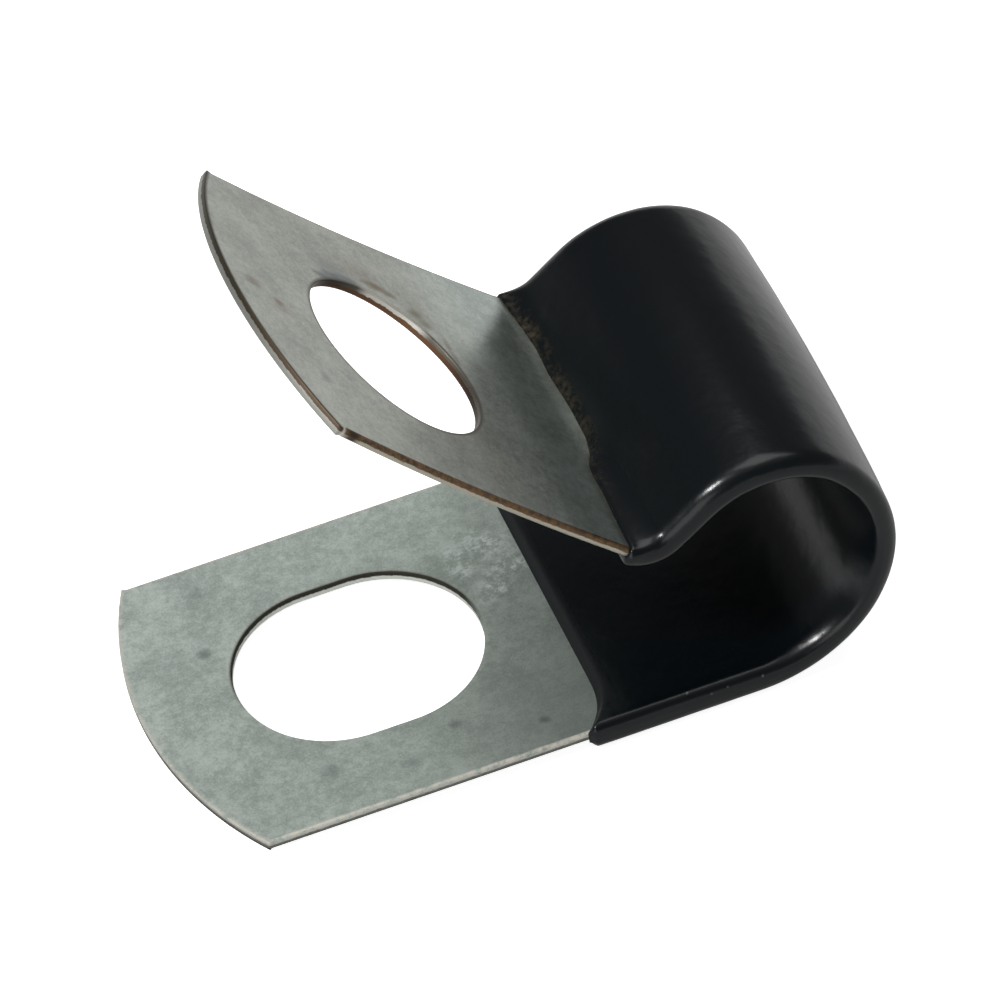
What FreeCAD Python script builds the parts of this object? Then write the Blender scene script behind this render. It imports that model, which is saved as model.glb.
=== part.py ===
import FreeCAD, Part
import math
import os
import Sketcher
from FreeCAD import Vector

# Vinyl-dipped steel loop clamp, sprung open. Millimetres.
# One flat strip is bent into a loop with two punched ears, then dipped in black vinyl up to the ears.
# The origin is the axis of the loop at mid width: +X from the ear tips to the loop, +Y along the loop's
# axis to the back, +Z up. The lower ear lies level and the upper ear leans up and away from it.

SIZES = {
    # steel strip: the loop, shoulder and bend radii run to the middle of its thickness
    "strip_width": 19.05,
    "strip_thickness": 0.5,
    "strip_edge_break": 0.15,
    "lower_ear_length": 27.86,
    "loop_radius": 6.9,
    "loop_turn": 133.9,
    "shoulder_radius": 4.95,
    "shoulder_turn": 82.8,
    "neck_length": 2.14,
    "bend_radius": 1.75,
    "bend_turn": 81.3,
    "upper_ear_length": 21.82,
    "ear_bow_radius": 188.0,
    # ears: the offsets are along Y from the middle of the strip
    "hole_setback": 10.9,
    "hole_diameter": 10.2,
    "upper_hole_offset": -0.19,
    "slot_length": 12.3,
    "lower_slot_offset": 0.23,
    "lower_tip_radius": 19.9,
    "lower_tip_offset": 0.8,
    "upper_tip_radius": 17.2,
    # vinyl coat: the crown is on the outside of the loop only
    "coat_thickness": 0.5,
    "coat_crown": 0.2,
    "coat_edge": 0.3,
    "coat_corner_round": 0.4,
    "coat_lower_reach": 7.5,
    "lower_tide_curl": 3.7,
    "coat_bend_setback": 0.5,
    "upper_tide_wave": 0.5,
}

# Positions along and angles of the strip that follow from the sizes, as the sheet works them out.
DERIVED = {
    "shoulder_angle": "=loop_turn + shoulder_turn",
    "ear_root_angle": "=shoulder_angle - bend_turn",
    "ear_root_x": "=(loop_radius - shoulder_radius) * sin(loop_turn * 1deg)"
                  " + (shoulder_radius + bend_radius) * sin(shoulder_angle * 1deg)"
                  " + neck_length * cos(shoulder_angle * 1deg)"
                  " - bend_radius * sin(ear_root_angle * 1deg)",
    "ear_root_z": "=-(loop_radius - shoulder_radius) * cos(loop_turn * 1deg)"
                  " - (shoulder_radius + bend_radius) * cos(shoulder_angle * 1deg)"
                  " + neck_length * sin(shoulder_angle * 1deg)"
                  " + bend_radius * cos(ear_root_angle * 1deg)",
    "hole_angle": "=ear_root_angle - (upper_ear_length - hole_setback) / ear_bow_radius * 180 / pi",
    "hole_x": "=ear_root_x + ear_bow_radius * (sin(ear_root_angle * 1deg) - sin(hole_angle * 1deg))",
    "hole_z": "=ear_root_z + ear_bow_radius * (cos(hole_angle * 1deg) - cos(ear_root_angle * 1deg))",
    "tide_angle": "=ear_root_angle + coat_bend_setback / bend_radius * 180 / pi",
    "tide_x": "=ear_root_x + bend_radius * (sin(ear_root_angle * 1deg) - sin(tide_angle * 1deg))",
    "tide_z": "=ear_root_z + bend_radius * (cos(tide_angle * 1deg) - cos(ear_root_angle * 1deg))",
    "crown_width": "=strip_width / 2 + coat_edge - coat_corner_round",
    "crown_radius": "=coat_corner_round + (crown_width ^ 2 + coat_crown ^ 2) / (2 * coat_crown)",
}

# The coat's upper tide line: shares of the strip's half width from the front to the back, and of the wave.
UPPER_TIDE = [
    (-1.1, 0.8),
    (-0.63, 0.6),
    (-0.3, 0.3),
    (0.0, -0.9),
    (0.63, -0.8),
    (1.1, 0.2),
]

# How far the cutting sketches reach past the edges that they trim, and through the strip.
TRIM_MARGIN = 1.0
TRIM_DEPTH = 2.6
# The lower ear's heading from the loop to its tip.
LEVEL = 180.0

doc = FreeCAD.newDocument("loop_clamp")
sheet = doc.addObject("Spreadsheet::Sheet", "sizes")


def fill_sheet():
    rows = [(name, str(value)) for name, value in SIZES.items()] + list(DERIVED.items())
    for row, (name, content) in enumerate(rows, start=1):
        sheet.set("A%d" % row, name)
        sheet.set("B%d" % row, content)
        sheet.setAlias("B%d" % row, name)
    doc.recompute()


def size(name):
    return float(sheet.get(name))


def sheet_value(expression):
    """What an expression of the sheet's cells comes to, for a sketch's first geometry."""
    return float(sheet.evalExpression(expression.replace("sizes.", "")))


def add_sketch(body, name, role):
    sketch = body.newObject("Sketcher::SketchObject", name)
    plane = next(feature for feature in body.Origin.OriginFeatures if feature.Role == role)
    sketch.AttachmentSupport = [(plane, "")]
    sketch.MapMode = "FlatFace"
    return sketch


def add_ear_sketch(body, name, x, z, heading):
    """A sketch in the plane of an ear: its own +X runs towards the tip, its own +Y to the back."""
    sketch = add_sketch(body, name, "XY_Plane")
    turn = FreeCAD.Rotation(Vector(0, -1, 0), LEVEL)
    sketch.AttachmentOffset = FreeCAD.Placement(Vector(0, 0, 0), turn)
    sketch.setExpression(".AttachmentOffset.Base.x", x)
    sketch.setExpression(".AttachmentOffset.Base.z", z)
    sketch.setExpression(".AttachmentOffset.Rotation.Angle", heading)
    return sketch


def drive(sketch, name, expression, *constraint):
    index = sketch.addConstraint(Sketcher.Constraint(*constraint))
    sketch.renameConstraint(index, name)
    sketch.setExpression("Constraints." + name, expression)


def arc(center, radius, start_degrees, end_degrees):
    circle = Part.Circle(center, Vector(0, 0, 1), radius)
    return Part.ArcOfCircle(circle, math.radians(start_degrees), math.radians(end_degrees))


def polar(radius, degrees):
    return Vector(radius * math.cos(math.radians(degrees)), radius * math.sin(math.radians(degrees)), 0)


def add_spine(body, name, lower_run, upper_run):
    """The line that the strip's middle follows: lower ear, loop, shoulder, neck, bend, bowed upper ear."""
    sketch = add_sketch(body, name, "XZ_Plane")
    loop, shoulder = size("loop_radius"), size("shoulder_radius")
    bend, bow = size("bend_radius"), size("ear_bow_radius")
    loop_end = size("loop_turn") - 90
    shoulder_end = size("shoulder_angle") - 90
    ear_start = size("ear_root_angle") + 90
    start = Vector(-sheet_value(lower_run), -loop, 0)
    shoulder_center = polar(loop - shoulder, loop_end)
    neck_start = shoulder_center + polar(shoulder, shoulder_end)
    neck_end = neck_start + polar(size("neck_length"), shoulder_end + 90)
    bend_center = neck_end + polar(bend, shoulder_end)
    bow_center = bend_center + polar(bend, ear_start) + polar(bow, ear_start - 180)
    bow_turn = math.degrees(sheet_value(upper_run) / bow)
    sketch.addGeometry([
        Part.LineSegment(start, Vector(0, -loop, 0)),
        arc(Vector(0, 0, 0), loop, -90, loop_end),
        arc(shoulder_center, shoulder, loop_end, shoulder_end),
        Part.LineSegment(neck_start, neck_end),
        arc(bend_center, bend, ear_start, shoulder_end + 180),
        arc(bow_center, bow, ear_start - bow_turn, ear_start),
    ], False)
    line, loop_arc, shoulder_arc, neck, bend_arc, ear = range(6)
    sketch.addConstraint([
        Sketcher.Constraint("Horizontal", line),
        Sketcher.Constraint("Coincident", loop_arc, 3, -1, 1),
        Sketcher.Constraint("Tangent", line, 2, loop_arc, 1),
        Sketcher.Constraint("Tangent", loop_arc, 2, shoulder_arc, 1),
        Sketcher.Constraint("Tangent", shoulder_arc, 2, neck, 1),
        Sketcher.Constraint("Tangent", neck, 2, bend_arc, 2),
        Sketcher.Constraint("Tangent", bend_arc, 1, ear, 2),
    ])
    drive(sketch, "lower_run", lower_run, "Distance", line, sheet_value(lower_run))
    drive(sketch, "loop_radius", "sizes.loop_radius", "Radius", loop_arc, loop)
    drive(sketch, "loop_turn", "sizes.loop_turn * 1deg", "Angle", loop_arc, math.radians(size("loop_turn")))
    drive(sketch, "shoulder_radius", "sizes.shoulder_radius", "Radius", shoulder_arc, shoulder)
    drive(sketch, "shoulder_turn", "sizes.shoulder_turn * 1deg", "Angle", shoulder_arc,
          math.radians(size("shoulder_turn")))
    drive(sketch, "neck_length", "sizes.neck_length", "Distance", neck, size("neck_length"))
    drive(sketch, "bend_radius", "sizes.bend_radius", "Radius", bend_arc, bend)
    drive(sketch, "bend_turn", "sizes.bend_turn * 1deg", "Angle", bend_arc, math.radians(size("bend_turn")))
    drive(sketch, "ear_bow_radius", "sizes.ear_bow_radius", "Radius", ear, bow)
    drive(sketch, "upper_run", "(%s) / sizes.ear_bow_radius * 180deg / pi" % upper_run, "Angle", ear,
          math.radians(bow_turn))
    return sketch


def add_strip_section(body, name, lower_run):
    """The strip's cross-section at the lower ear's end: a flat bar whose four long edges are rolled off."""
    sketch = add_sketch(body, name, "YZ_Plane")
    sketch.setExpression(".AttachmentOffset.Base.z", "-(%s)" % lower_run)
    w = size("strip_width") / 2
    low = -size("loop_radius") - size("strip_thickness") / 2
    high = low + size("strip_thickness")
    edge = size("strip_edge_break")
    corners = [
        Vector(w - edge, high, 0),
        Vector(edge - w, high, 0),
        Vector(-w, high - edge, 0),
        Vector(-w, low + edge, 0),
        Vector(edge - w, low, 0),
        Vector(w - edge, low, 0),
        Vector(w, low + edge, 0),
        Vector(w, high - edge, 0),
    ]
    followers = corners[1:] + corners[:1]
    sketch.addGeometry([Part.LineSegment(start, end) for start, end in zip(corners, followers)], False)
    for side in range(len(corners)):
        sketch.addConstraint(Sketcher.Constraint("Coincident", side, 2, (side + 1) % len(corners), 1))
    inner, front, outer, back = 0, 2, 4, 6
    for level_side in (inner, outer):
        sketch.addConstraint(Sketcher.Constraint("Horizontal", level_side))
    for upright_side in (front, back):
        sketch.addConstraint(Sketcher.Constraint("Vertical", upright_side))
    half = "sizes.strip_width / 2"
    edge_cell = "sizes.strip_edge_break"
    inner_level = "sizes.loop_radius - sizes.strip_thickness / 2"
    drive(sketch, "front_half", half, "DistanceX", front, 1, -1, 1, w)
    drive(sketch, "back_half", half, "DistanceX", -1, 1, back, 1, w)
    drive(sketch, "inner_side", inner_level, "DistanceY", inner, 1, -1, 1, -high)
    drive(sketch, "thickness", "sizes.strip_thickness", "DistanceY", outer, 1, inner, 1, high - low)
    drive(sketch, "inner_front_edge", edge_cell, "DistanceX", front, 1, inner, 2, edge)
    drive(sketch, "outer_front_edge", edge_cell, "DistanceX", front, 1, outer, 1, edge)
    drive(sketch, "inner_back_edge", edge_cell, "DistanceX", inner, 1, back, 1, edge)
    drive(sketch, "outer_back_edge", edge_cell, "DistanceX", outer, 2, back, 1, edge)
    drive(sketch, "front_inner_edge", edge_cell, "DistanceY", front, 1, inner, 1, edge)
    drive(sketch, "back_inner_edge", edge_cell, "DistanceY", back, 2, inner, 1, edge)
    drive(sketch, "front_outer_edge", edge_cell, "DistanceY", outer, 1, front, 2, edge)
    drive(sketch, "back_outer_edge", edge_cell, "DistanceY", outer, 1, back, 1, edge)
    return sketch


def add_coat_section(body, name, lower_run):
    """The coat's outline at the lower ear: round corners, and a crown on its outer side, the lower one."""
    sketch = add_sketch(body, name, "YZ_Plane")
    sketch.setExpression(".AttachmentOffset.Base.z", "-(%s)" % lower_run)
    half_width = "sizes.strip_width / 2 + sizes.coat_edge"
    half_thickness = "sizes.strip_thickness / 2 + sizes.coat_thickness"
    level = -size("loop_radius")
    w, h = sheet_value(half_width), sheet_value(half_thickness)
    r, crown = size("coat_corner_round"), size("crown_radius")
    flat_w, flat_h = w - r, h - r
    lean = math.degrees(math.asin(flat_w / (crown - r)))
    crown_center = Vector(0, level - flat_h + math.sqrt((crown - r) ** 2 - flat_w ** 2), 0)
    sketch.addGeometry([
        Part.LineSegment(Vector(flat_w, level + h, 0), Vector(-flat_w, level + h, 0)),
        arc(Vector(-flat_w, level + flat_h, 0), r, 90, 180),
        Part.LineSegment(Vector(-w, level + flat_h, 0), Vector(-w, level - flat_h, 0)),
        arc(Vector(-flat_w, level - flat_h, 0), r, 180, 270 - lean),
        arc(crown_center, crown, 270 - lean, 270 + lean),
        arc(Vector(flat_w, level - flat_h, 0), r, 270 + lean, 360),
        Part.LineSegment(Vector(w, level - flat_h, 0), Vector(w, level + flat_h, 0)),
        arc(Vector(flat_w, level + flat_h, 0), r, 0, 90),
    ], False)
    inner, front_inner, front, front_outer, outer, back_outer, back, back_inner = range(8)
    joins = [(inner, 2, front_inner, 1), (front_inner, 2, front, 1), (front, 2, front_outer, 1),
             (front_outer, 2, outer, 1), (outer, 2, back_outer, 1), (back_outer, 2, back, 1),
             (back, 2, back_inner, 1), (back_inner, 2, inner, 1)]
    for join in joins:
        sketch.addConstraint(Sketcher.Constraint("Tangent", *join))
    for other in (front_outer, back_outer, back_inner):
        sketch.addConstraint(Sketcher.Constraint("Equal", front_inner, other))
    sketch.addConstraint(Sketcher.Constraint("Horizontal", inner))
    sketch.addConstraint(Sketcher.Constraint("Vertical", front))
    sketch.addConstraint(Sketcher.Constraint("Vertical", back))
    corner_level = "sizes.loop_radius + %s - sizes.coat_corner_round" % half_thickness
    drive(sketch, "corner", "sizes.coat_corner_round", "Radius", front_inner, r)
    drive(sketch, "front_half", half_width, "DistanceX", front, 1, -1, 1, w)
    drive(sketch, "back_half", half_width, "DistanceX", -1, 1, back, 1, w)
    drive(sketch, "inner_side", "sizes.loop_radius - (%s)" % half_thickness, "DistanceY", inner, 1, -1, 1,
          -level - h)
    drive(sketch, "front_corner", corner_level, "DistanceY", front, 2, -1, 1, -level + flat_h)
    drive(sketch, "back_corner", corner_level, "DistanceY", back, 1, -1, 1, -level + flat_h)
    drive(sketch, "crown_radius", "sizes.crown_radius", "Radius", outer, crown)
    return sketch


def sweep(body, name, section, spine):
    pipe = body.newObject("PartDesign::AdditivePipe", name)
    pipe.Profile = section
    pipe.Spine = spine
    pipe.Mode = "Standard"
    doc.recompute()
    return pipe


def trim(body, name, sketch):
    """Cuts the sketch through the strip, the same depth to both sides, and checks that it took something."""
    before = body.Shape.Volume
    pocket = body.newObject("PartDesign::Pocket", name)
    pocket.Profile = sketch
    pocket.SideType = "Symmetric"
    pocket.Length = TRIM_DEPTH
    doc.recompute()
    if body.Shape.Volume > before - 0.01:
        raise RuntimeError(name + " cut nothing")


def add_round_hole(sketch, offset):
    y = sheet_value(offset)
    sketch.addGeometry(Part.Circle(Vector(0, y, 0), Vector(0, 0, 1), size("hole_diameter") / 2))
    sketch.addConstraint(Sketcher.Constraint("PointOnObject", 0, 3, -2))
    drive(sketch, "hole_offset", offset, "DistanceY", -1, 1, 0, 3, y)
    drive(sketch, "hole_diameter", "sizes.hole_diameter", "Diameter", 0, size("hole_diameter"))


def add_slot(sketch, offset):
    r = size("hole_diameter") / 2
    reach = size("slot_length") / 2 - r
    y = sheet_value(offset)
    sketch.addGeometry([
        Part.LineSegment(Vector(-reach, y + r, 0), Vector(reach, y + r, 0)),
        arc(Vector(reach, y, 0), r, -90, 90),
        Part.LineSegment(Vector(reach, y - r, 0), Vector(-reach, y - r, 0)),
        arc(Vector(-reach, y, 0), r, 90, 270),
    ], False)
    back, tip_end, front, loop_end = range(4)
    joins = [(back, 2, tip_end, 2), (tip_end, 1, front, 1), (front, 2, loop_end, 2), (loop_end, 1, back, 1)]
    for join in joins:
        sketch.addConstraint(Sketcher.Constraint("Tangent", *join))
    sketch.addConstraint(Sketcher.Constraint("Equal", tip_end, loop_end))
    sketch.addConstraint(Sketcher.Constraint("Horizontal", back))
    straight = "sizes.slot_length - sizes.hole_diameter"
    drive(sketch, "slot_radius", "sizes.hole_diameter / 2", "Radius", tip_end, r)
    drive(sketch, "slot_straight", straight, "DistanceX", loop_end, 3, tip_end, 3, 2 * reach)
    drive(sketch, "slot_reach", "(%s) / 2" % straight, "DistanceX", -1, 1, tip_end, 3, reach)
    drive(sketch, "slot_offset", offset, "DistanceY", -1, 1, tip_end, 3, y)


def add_tip_round(sketch, radius, offset):
    """What lies outside the round of an ear's tip, whose top is one hole setback from the sketch's origin."""
    r, y = sheet_value(radius), sheet_value(offset)
    middle = size("hole_setback") - r
    side = size("strip_width") / 2 + TRIM_MARGIN
    far = size("hole_setback") + TRIM_MARGIN
    front_turn = math.degrees(math.asin((-side - y) / r))
    back_turn = math.degrees(math.asin((side - y) / r))
    front_end = Vector(middle, y, 0) + polar(r, front_turn)
    back_end = Vector(middle, y, 0) + polar(r, back_turn)
    sketch.addGeometry([
        arc(Vector(middle, y, 0), r, front_turn, back_turn),
        Part.LineSegment(back_end, Vector(far, side, 0)),
        Part.LineSegment(Vector(far, side, 0), Vector(far, -side, 0)),
        Part.LineSegment(Vector(far, -side, 0), front_end),
    ], False)
    tip, back, end, front = range(4)
    for join in [(tip, 2, back, 1), (back, 2, end, 1), (end, 2, front, 1), (front, 2, tip, 1)]:
        sketch.addConstraint(Sketcher.Constraint("Coincident", *join))
    sketch.addConstraint(Sketcher.Constraint("Horizontal", back))
    sketch.addConstraint(Sketcher.Constraint("Horizontal", front))
    sketch.addConstraint(Sketcher.Constraint("Vertical", end))
    drive(sketch, "tip_radius", radius, "Radius", tip, r)
    drive(sketch, "tip_middle", "(%s) - sizes.hole_setback" % radius, "DistanceX", tip, 3, -1, 1, -middle)
    drive(sketch, "tip_offset", offset, "DistanceY", -1, 1, tip, 3, y)
    side_cell = "sizes.strip_width / 2 + %s" % TRIM_MARGIN
    drive(sketch, "back_side", side_cell, "DistanceY", -1, 1, back, 1, side)
    drive(sketch, "front_side", side_cell, "DistanceY", front, 1, -1, 1, side)
    drive(sketch, "far_end", "sizes.hole_setback + %s" % TRIM_MARGIN, "DistanceX", -1, 1, end, 1, far)


def make_strap():
    body = doc.addObject("PartDesign::Body", "steel_strap")
    body.Label = "steel_strap"
    lower_run = "sizes.lower_ear_length"
    spine = add_spine(body, "strap_line", lower_run, "sizes.upper_ear_length")
    section = add_strip_section(body, "strap_section", lower_run)
    sweep(body, "bent_strip", section, spine)

    lower_ear = ("sizes.hole_setback - sizes.lower_ear_length", "-sizes.loop_radius", str(LEVEL))
    upper_ear = ("sizes.hole_x", "sizes.hole_z", "sizes.hole_angle")
    tip = add_ear_sketch(body, "lower_tip_round", *lower_ear)
    add_tip_round(tip, "sizes.lower_tip_radius", "sizes.lower_tip_offset")
    trim(body, "lower_tip", tip)
    slot = add_ear_sketch(body, "lower_slot_outline", *lower_ear)
    add_slot(slot, "sizes.lower_slot_offset")
    trim(body, "lower_slot", slot)
    tip = add_ear_sketch(body, "upper_tip_round", *upper_ear)
    add_tip_round(tip, "sizes.upper_tip_radius", "0")
    trim(body, "upper_tip", tip)
    hole = add_ear_sketch(body, "upper_hole_outline", *upper_ear)
    add_round_hole(hole, "sizes.upper_hole_offset")
    trim(body, "upper_hole", hole)
    return body


def add_lower_tide(sketch):
    """What lies past the coat's lower end: square across, then curling towards the tip at the front."""
    curl = size("lower_tide_curl")
    side = size("strip_width") / 2 + size("coat_edge") + TRIM_MARGIN
    curl_start = curl - side
    sketch.addGeometry([
        Part.LineSegment(Vector(0, side, 0), Vector(0, curl_start, 0)),
        arc(Vector(curl, curl_start, 0), curl, 180, 270),
        Part.LineSegment(Vector(curl, -side, 0), Vector(curl + TRIM_MARGIN, -side, 0)),
        Part.LineSegment(Vector(curl + TRIM_MARGIN, -side, 0), Vector(curl + TRIM_MARGIN, side, 0)),
        Part.LineSegment(Vector(curl + TRIM_MARGIN, side, 0), Vector(0, side, 0)),
    ], False)
    tide, round_end, front, end, back = range(5)
    sketch.addConstraint(Sketcher.Constraint("Tangent", tide, 2, round_end, 1))
    for join in [(round_end, 2, front, 1), (front, 2, end, 1), (end, 2, back, 1), (back, 2, tide, 1)]:
        sketch.addConstraint(Sketcher.Constraint("Coincident", *join))
    sketch.addConstraint(Sketcher.Constraint("Vertical", end))
    sketch.addConstraint(Sketcher.Constraint("Horizontal", front))
    sketch.addConstraint(Sketcher.Constraint("Horizontal", back))
    sketch.addConstraint(Sketcher.Constraint("PointOnObject", tide, 1, -2))
    sketch.addConstraint(Sketcher.Constraint("PointOnObject", tide, 2, -2))
    side_cell = "sizes.strip_width / 2 + sizes.coat_edge + %s" % TRIM_MARGIN
    drive(sketch, "curl", "sizes.lower_tide_curl", "Radius", round_end, curl)
    drive(sketch, "curl_end", "sizes.lower_tide_curl", "DistanceX", -1, 1, round_end, 2, curl)
    drive(sketch, "back_side", side_cell, "DistanceY", -1, 1, back, 1, side)
    drive(sketch, "front_side", side_cell, "DistanceY", front, 1, -1, 1, side)
    drive(sketch, "far_end", "sizes.lower_tide_curl + %s" % TRIM_MARGIN, "DistanceX", -1, 1, end, 1,
          curl + TRIM_MARGIN)


def add_upper_tide(sketch):
    """What lies past the coat's upper end: a wavy line from the front edge to the back edge."""
    half = size("strip_width") / 2
    wave = size("upper_tide_wave")
    far = wave + 2 * TRIM_MARGIN
    points = [Vector(drop * wave, share * half, 0) for share, drop in UPPER_TIDE]
    front, back = points[0], points[-1]
    tide = Part.BSplineCurve()
    tide.interpolate(points)
    sketch.addGeometry([
        tide,
        Part.LineSegment(back, Vector(far, back.y, 0)),
        Part.LineSegment(Vector(far, back.y, 0), Vector(far, front.y, 0)),
        Part.LineSegment(Vector(far, front.y, 0), front),
    ], False)
    for join in [(0, 2, 1, 1), (1, 2, 2, 1), (2, 2, 3, 1), (3, 2, 0, 1)]:
        sketch.addConstraint(Sketcher.Constraint("Coincident", *join))


def make_coat(strap):
    blank = doc.addObject("PartDesign::Body", "coat_blank")
    lower_run = "sizes.coat_lower_reach + sizes.lower_tide_curl"
    spine = add_spine(blank, "coat_line", lower_run, "sizes.coat_bend_setback")
    section = add_coat_section(blank, "coat_section", lower_run)
    sweep(blank, "dipped_length", section, spine)
    lower_end = ("-sizes.coat_lower_reach", "-sizes.loop_radius", str(LEVEL))
    upper_end = ("sizes.tide_x", "sizes.tide_z", "sizes.tide_angle")
    tide = add_ear_sketch(blank, "lower_tide_line", *lower_end)
    add_lower_tide(tide)
    trim(blank, "lower_tide", tide)
    tide = add_ear_sketch(blank, "upper_tide_line", *upper_end)
    add_upper_tide(tide)
    trim(blank, "upper_tide", tide)

    coat = doc.addObject("Part::Cut", "vinyl_coat")
    coat.Label = "vinyl_coat"
    coat.Base = blank
    coat.Tool = strap
    doc.recompute()
    return coat


def check(nodes):
    for feature in doc.Objects:
        if "Invalid" in feature.State or "Error" in feature.State:
            raise RuntimeError("%s failed: %s" % (feature.Name, feature.State))
    for node in nodes:
        if node.Shape.isNull() or not node.Shape.isValid() or len(node.Shape.Solids) != 1:
            raise RuntimeError(node.Label + " isn't one valid solid")


def export(nodes):
    os.makedirs("parts", exist_ok=True)
    for node in nodes:
        node.Shape.exportStep("parts/%s.step" % node.Label)
        box = node.Shape.optimalBoundingBox(False, False)
        print("%s: %.1f mm3, box %.2f x %.2f x %.2f mm" % (
            node.Label, node.Shape.Volume, box.XLength, box.YLength, box.ZLength))


fill_sheet()
steel_strap = make_strap()
vinyl_coat = make_coat(steel_strap)
check([steel_strap, vinyl_coat])
export([steel_strap, vinyl_coat])
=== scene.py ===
import math

import bpy
import numpy as np
from mathutils import Matrix, Vector, noise
from mathutils.geometry import delaunay_2d_cdt


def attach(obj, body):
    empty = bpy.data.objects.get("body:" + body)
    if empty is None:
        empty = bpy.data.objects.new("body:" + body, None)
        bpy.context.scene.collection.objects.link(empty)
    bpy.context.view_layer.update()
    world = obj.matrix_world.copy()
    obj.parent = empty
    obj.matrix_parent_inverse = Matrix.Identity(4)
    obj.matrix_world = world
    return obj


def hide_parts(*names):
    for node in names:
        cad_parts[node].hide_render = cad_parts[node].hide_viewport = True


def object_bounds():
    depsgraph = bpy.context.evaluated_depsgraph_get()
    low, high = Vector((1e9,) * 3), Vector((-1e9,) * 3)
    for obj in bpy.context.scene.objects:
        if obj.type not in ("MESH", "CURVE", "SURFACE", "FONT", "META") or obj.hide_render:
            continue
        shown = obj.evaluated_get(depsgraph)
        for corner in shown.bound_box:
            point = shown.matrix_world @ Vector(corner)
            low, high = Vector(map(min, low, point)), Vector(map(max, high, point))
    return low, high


# Looks of the vinyl-dipped loop clamp. Lengths are in millimetres until a mesh is made, then in metres.
# The strip is laid out flat first: s runs along its middle from the lowest point of the loop, negative over
# the lower ear, and y runs across it from the front edge to the back edge. It is then bent along its line.
# A height is measured from the middle of the steel towards the outside of the loop.

MM = 0.001
TINY = 1e-12

# the strip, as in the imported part
STRIP_WIDTH = 19.05
STRIP_THICKNESS = 0.5
LOWER_EAR = 27.86
LOOP_RADIUS = 6.9
LOOP_TURN = 133.9
SHOULDER_RADIUS = 4.95
SHOULDER_TURN = 82.8
NECK = 2.14
BEND_RADIUS = 1.75
BEND_TURN = 81.3
UPPER_EAR = 21.82
BOW_RADIUS = 188.0
HALF_W = STRIP_WIDTH / 2
HALF_T = STRIP_THICKNESS / 2

# each run of the line after the lower ear: its length and its curvature
ARCS = [
    (LOOP_RADIUS * math.radians(LOOP_TURN), 1 / LOOP_RADIUS),
    (SHOULDER_RADIUS * math.radians(SHOULDER_TURN), 1 / SHOULDER_RADIUS),
    (NECK, 0.0),
    (BEND_RADIUS * math.radians(BEND_TURN), -1 / BEND_RADIUS),
    (UPPER_EAR, -1 / BOW_RADIUS),
]
EAR_ROOT = sum(length for length, _ in ARCS[:4])
UPPER_TIP = EAR_ROOT + UPPER_EAR

# holes and tips, laid out flat
HOLE_SETBACK = 10.9
HOLE_RADIUS = 5.1
SLOT_HALF_STRAIGHT = 1.05
UPPER_HOLE = (UPPER_TIP - HOLE_SETBACK, -0.19)
LOWER_SLOT = (HOLE_SETBACK - LOWER_EAR, 0.23)
LOWER_TIP_RADIUS = 19.9
LOWER_TIP_OFFSET = 0.8
UPPER_TIP_RADIUS = 17.2

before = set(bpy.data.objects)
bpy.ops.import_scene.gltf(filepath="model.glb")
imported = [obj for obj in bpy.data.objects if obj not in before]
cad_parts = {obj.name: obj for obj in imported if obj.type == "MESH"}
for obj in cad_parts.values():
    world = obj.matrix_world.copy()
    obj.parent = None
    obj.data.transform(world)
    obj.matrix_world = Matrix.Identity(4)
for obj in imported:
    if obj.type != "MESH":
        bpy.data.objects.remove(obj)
cad_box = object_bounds()


def strip_line(s):
    """Where the strip's middle is at s: x, z and heading, for an array of s."""
    s = np.asarray(s, float)
    x = np.minimum(s, 0.0)
    z = np.full_like(s, -LOOP_RADIUS)
    heading = np.zeros_like(s)
    start = 0.0
    for length, bend in ARCS:
        run = np.clip(s - start, 0.0, length)
        turn = run * bend
        if bend:
            x = x + (np.sin(heading + turn) - np.sin(heading)) / bend
            z = z - (np.cos(heading + turn) - np.cos(heading)) / bend
        else:
            x = x + run * np.cos(heading)
            z = z + run * np.sin(heading)
        heading = heading + turn
        start += length
    beyond = np.maximum(s - start, 0.0)
    return x + beyond * np.cos(heading), z + beyond * np.sin(heading), heading


def bend(flat):
    """Flat points (s, y, height) moved to where the bent strip has them, in metres."""
    x, z, heading = strip_line(flat[:, 0])
    out_x, out_z = np.sin(heading), -np.cos(heading)
    points = np.stack([x + out_x * flat[:, 2], flat[:, 1], z + out_z * flat[:, 2]], axis=1)
    return points * MM


def make_mesh(name, flat, faces, layers):
    """A smooth object from flat points, with s and y kept as a UV map, and masks for the finish."""
    mesh = bpy.data.meshes.new(name)
    mesh.from_pydata(bend(flat).tolist(), [], faces)
    mesh.validate()
    mesh.polygons.foreach_set("use_smooth", [True] * len(mesh.polygons))
    loops = np.empty(len(mesh.loops), int)
    mesh.loops.foreach_get("vertex_index", loops)
    uv = mesh.uv_layers.new(name="laid_flat")
    uv.data.foreach_set("uv", flat[loops, :2].astype(np.float32).ravel())
    for layer, values in layers.items():
        attribute = mesh.attributes.new(layer, "FLOAT", "POINT")
        attribute.data.foreach_set("value", np.asarray(values, np.float32))
    mesh.update()
    piece = bpy.data.objects.new(name, mesh)
    bpy.context.scene.collection.objects.link(piece)
    return piece


def wavy(s, y, size, seed):
    """Smooth noise from -1 to 1 over the laid-out strip, for arrays of s and y."""
    return np.array([noise.noise(Vector((a / size, b / size, seed))) for a, b in zip(s, y)])


# Steel strap

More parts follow.
